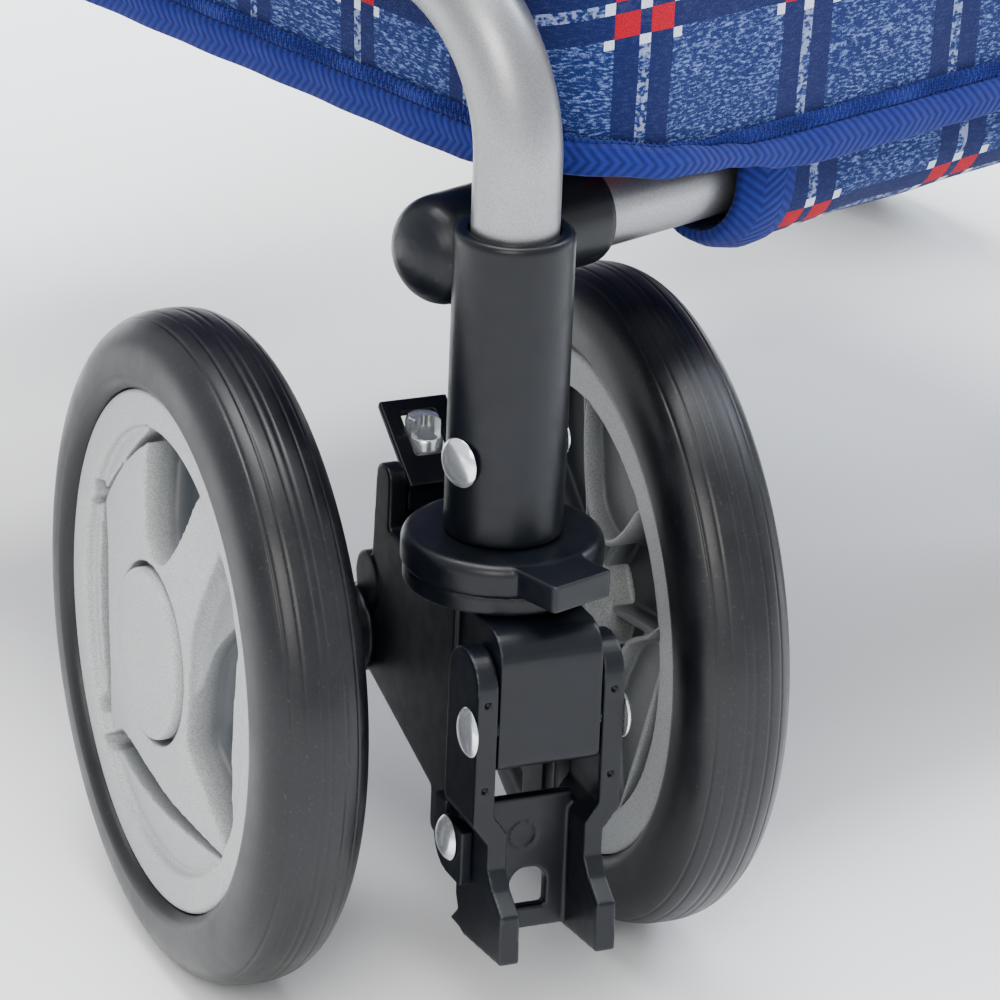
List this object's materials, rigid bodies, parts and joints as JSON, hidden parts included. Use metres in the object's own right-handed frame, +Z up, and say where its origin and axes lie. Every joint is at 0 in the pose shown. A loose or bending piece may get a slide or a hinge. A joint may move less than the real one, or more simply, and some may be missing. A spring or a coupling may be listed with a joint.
{
  "type": "shopping trolley on wheels",
  "caption": "Wheeled shopping trolley: tartan bag with a lid on a bent-tube frame, twin-wheel swivel casters in front, fixed rear wheels, foot brake and sliding push handle.",
  "frame": {"origin": "on the floor, under the centre of the bounding box", "axes": "+X to the right seen from behind the trolley, -Y to the front, +Z up"},
  "size_m": [0.5288, 0.481, 0.9645],
  "materials": {
    "black_plastic": "moulded, fine satin grain",
    "steel": "bright plated",
    "silver_tube": "satin silver",
    "tyre_rubber": "dark blue-grey rubber with a soft sheen",
    "grey_plastic": "light grey moulded plastic",
    "tartan_cloth": "woven blue tartan with blue binding tape",
    "foam": "soft foam grip"
  },
  "bodies": {
    "root": {"left_stem_bracket": "black_plastic", "left_stem_rivet": "steel", "left_side_tube": "silver_tube", "left_swivel_collar": "black_plastic", "left_kingpin": "steel", "left_rear_connector": "black_plastic", "left_rear_upright": "silver_tube", "left_rear_foot": "black_plastic", "left_rear_axle": "steel", "left_height_collar": "black_plastic", "right_stem_bracket": "black_plastic", "right_stem_rivet": "steel", "right_side_tube": "silver_tube", "right_swivel_collar": "black_plastic", "right_kingpin": "steel", "right_rear_connector": "black_plastic", "right_rear_upright": "silver_tube", "right_rear_foot": "black_plastic", "right_rear_axle": "steel", "right_height_collar": "black_plastic", "front_cross_tube": "silver_tube", "rear_cross_tube": "silver_tube", "bag_body": "tartan_cloth", "cross_tube_sleeve": "tartan_cloth"},
    "left_swivel": {"left_fork": "black_plastic", "left_caster_axle": "steel", "left_pedal_rivet": "steel"},
    "left_outer_wheel": {"left_outer_rim": "grey_plastic", "left_outer_tyre": "tyre_rubber", "left_outer_hub_cap": "grey_plastic"},
    "left_inner_wheel": {"left_inner_rim": "grey_plastic", "left_inner_tyre": "tyre_rubber", "left_inner_hub_cap": "grey_plastic"},
    "left_pedal": {"left_lock_pedal": "black_plastic", "left_guard_plate": "black_plastic", "left_plate_rivet": "steel"},
    "left_lever": {"left_lock_lever": "black_plastic", "left_lever_barrel": "steel"},
    "right_swivel": {"right_fork": "black_plastic", "right_caster_axle": "steel", "right_pedal_rivet": "steel"},
    "right_outer_wheel": {"right_outer_rim": "grey_plastic", "right_outer_tyre": "tyre_rubber", "right_outer_hub_cap": "grey_plastic"},
    "right_inner_wheel": {"right_inner_rim": "grey_plastic", "right_inner_tyre": "tyre_rubber", "right_inner_hub_cap": "grey_plastic"},
    "right_pedal": {"right_lock_pedal": "black_plastic", "right_guard_plate": "black_plastic", "right_plate_rivet": "steel"},
    "right_lever": {"right_lock_lever": "black_plastic", "right_lever_barrel": "steel"},
    "left_rear_wheel": {"left_rear_rim": "grey_plastic", "left_rear_tyre": "tyre_rubber"},
    "right_rear_wheel": {"right_rear_rim": "grey_plastic", "right_rear_tyre": "tyre_rubber"},
    "brake": {"brake_bar": "black_plastic"},
    "handle": {"handle_tube": "silver_tube", "handle_grip": "foam"},
    "lid": {"bag_lid": "tartan_cloth"}
  },
  "joints": [
    {"name": "left_swivel_turn", "type": "hinge", "parent": "root", "child": "left_swivel", "pos_m": [-0.2, -0.19801, 0.11], "axis": [0, 0, 1], "continuous": true},
    {"name": "left_outer_wheel_spin", "type": "hinge", "parent": "left_swivel", "child": "left_outer_wheel", "pos_m": [-0.22997, -0.13561, 0.075], "axis": [0.9422, -0.3351, 0], "continuous": true},
    {"name": "left_inner_wheel_spin", "type": "hinge", "parent": "left_swivel", "child": "left_inner_wheel", "pos_m": [-0.13735, -0.16855, 0.075], "axis": [0.9422, -0.3351, 0], "continuous": true},
    {"name": "left_pedal_tilt", "type": "hinge", "parent": "left_swivel", "child": "left_pedal", "pos_m": [-0.20885, -0.22288, 0.08275], "axis": [-0.9422, 0.3351, 0], "range_deg": [0, 30]},
    {"name": "left_lever_tilt", "type": "hinge", "parent": "left_swivel", "child": "left_lever", "pos_m": [-0.18777, -0.16362, 0.11], "axis": [-0.9422, 0.3351, 0], "range_deg": [0, 20]},
    {"name": "right_swivel_turn", "type": "hinge", "parent": "root", "child": "right_swivel", "pos_m": [0.2, -0.19801, 0.11], "axis": [0, 0, 1], "continuous": true},
    {"name": "right_outer_wheel_spin", "type": "hinge", "parent": "right_swivel", "child": "right_outer_wheel", "pos_m": [0.22997, -0.13561, 0.075], "axis": [0.9422, 0.3351, 0], "continuous": true},
    {"name": "right_inner_wheel_spin", "type": "hinge", "parent": "right_swivel", "child": "right_inner_wheel", "pos_m": [0.13735, -0.16855, 0.075], "axis": [0.9422, 0.3351, 0], "continuous": true},
    {"name": "right_pedal_tilt", "type": "hinge", "parent": "right_swivel", "child": "right_pedal", "pos_m": [0.20885, -0.22288, 0.08275], "axis": [-0.9422, -0.3351, 0], "range_deg": [0, 30]},
    {"name": "right_lever_tilt", "type": "hinge", "parent": "right_swivel", "child": "right_lever", "pos_m": [0.18777, -0.16362, 0.11], "axis": [-0.9422, -0.3351, 0], "range_deg": [0, 20]},
    {"name": "left_rear_wheel_spin", "type": "hinge", "parent": "root", "child": "left_rear_wheel", "pos_m": [-0.232, 0.14199, 0.09], "axis": [1, 0, 0], "continuous": true},
    {"name": "right_rear_wheel_spin", "type": "hinge", "parent": "root", "child": "right_rear_wheel", "pos_m": [0.232, 0.14199, 0.09], "axis": [1, 0, 0], "continuous": true},
    {"name": "brake_press", "type": "hinge", "parent": "root", "child": "brake", "pos_m": [0, 0.17199, 0.192], "axis": [-1, 0, 0], "range_deg": [0, 25]},
    {"name": "handle_slide", "type": "slide", "parent": "root", "child": "handle", "axis": [0, 0, 1], "range_m": [0, 0.1]},
    {"name": "lid_open", "type": "hinge", "parent": "root", "child": "lid", "pos_m": [0, 0.12799, 0.6603], "axis": [-1, 0, 0], "range_deg": [0, 100]}
  ]
}
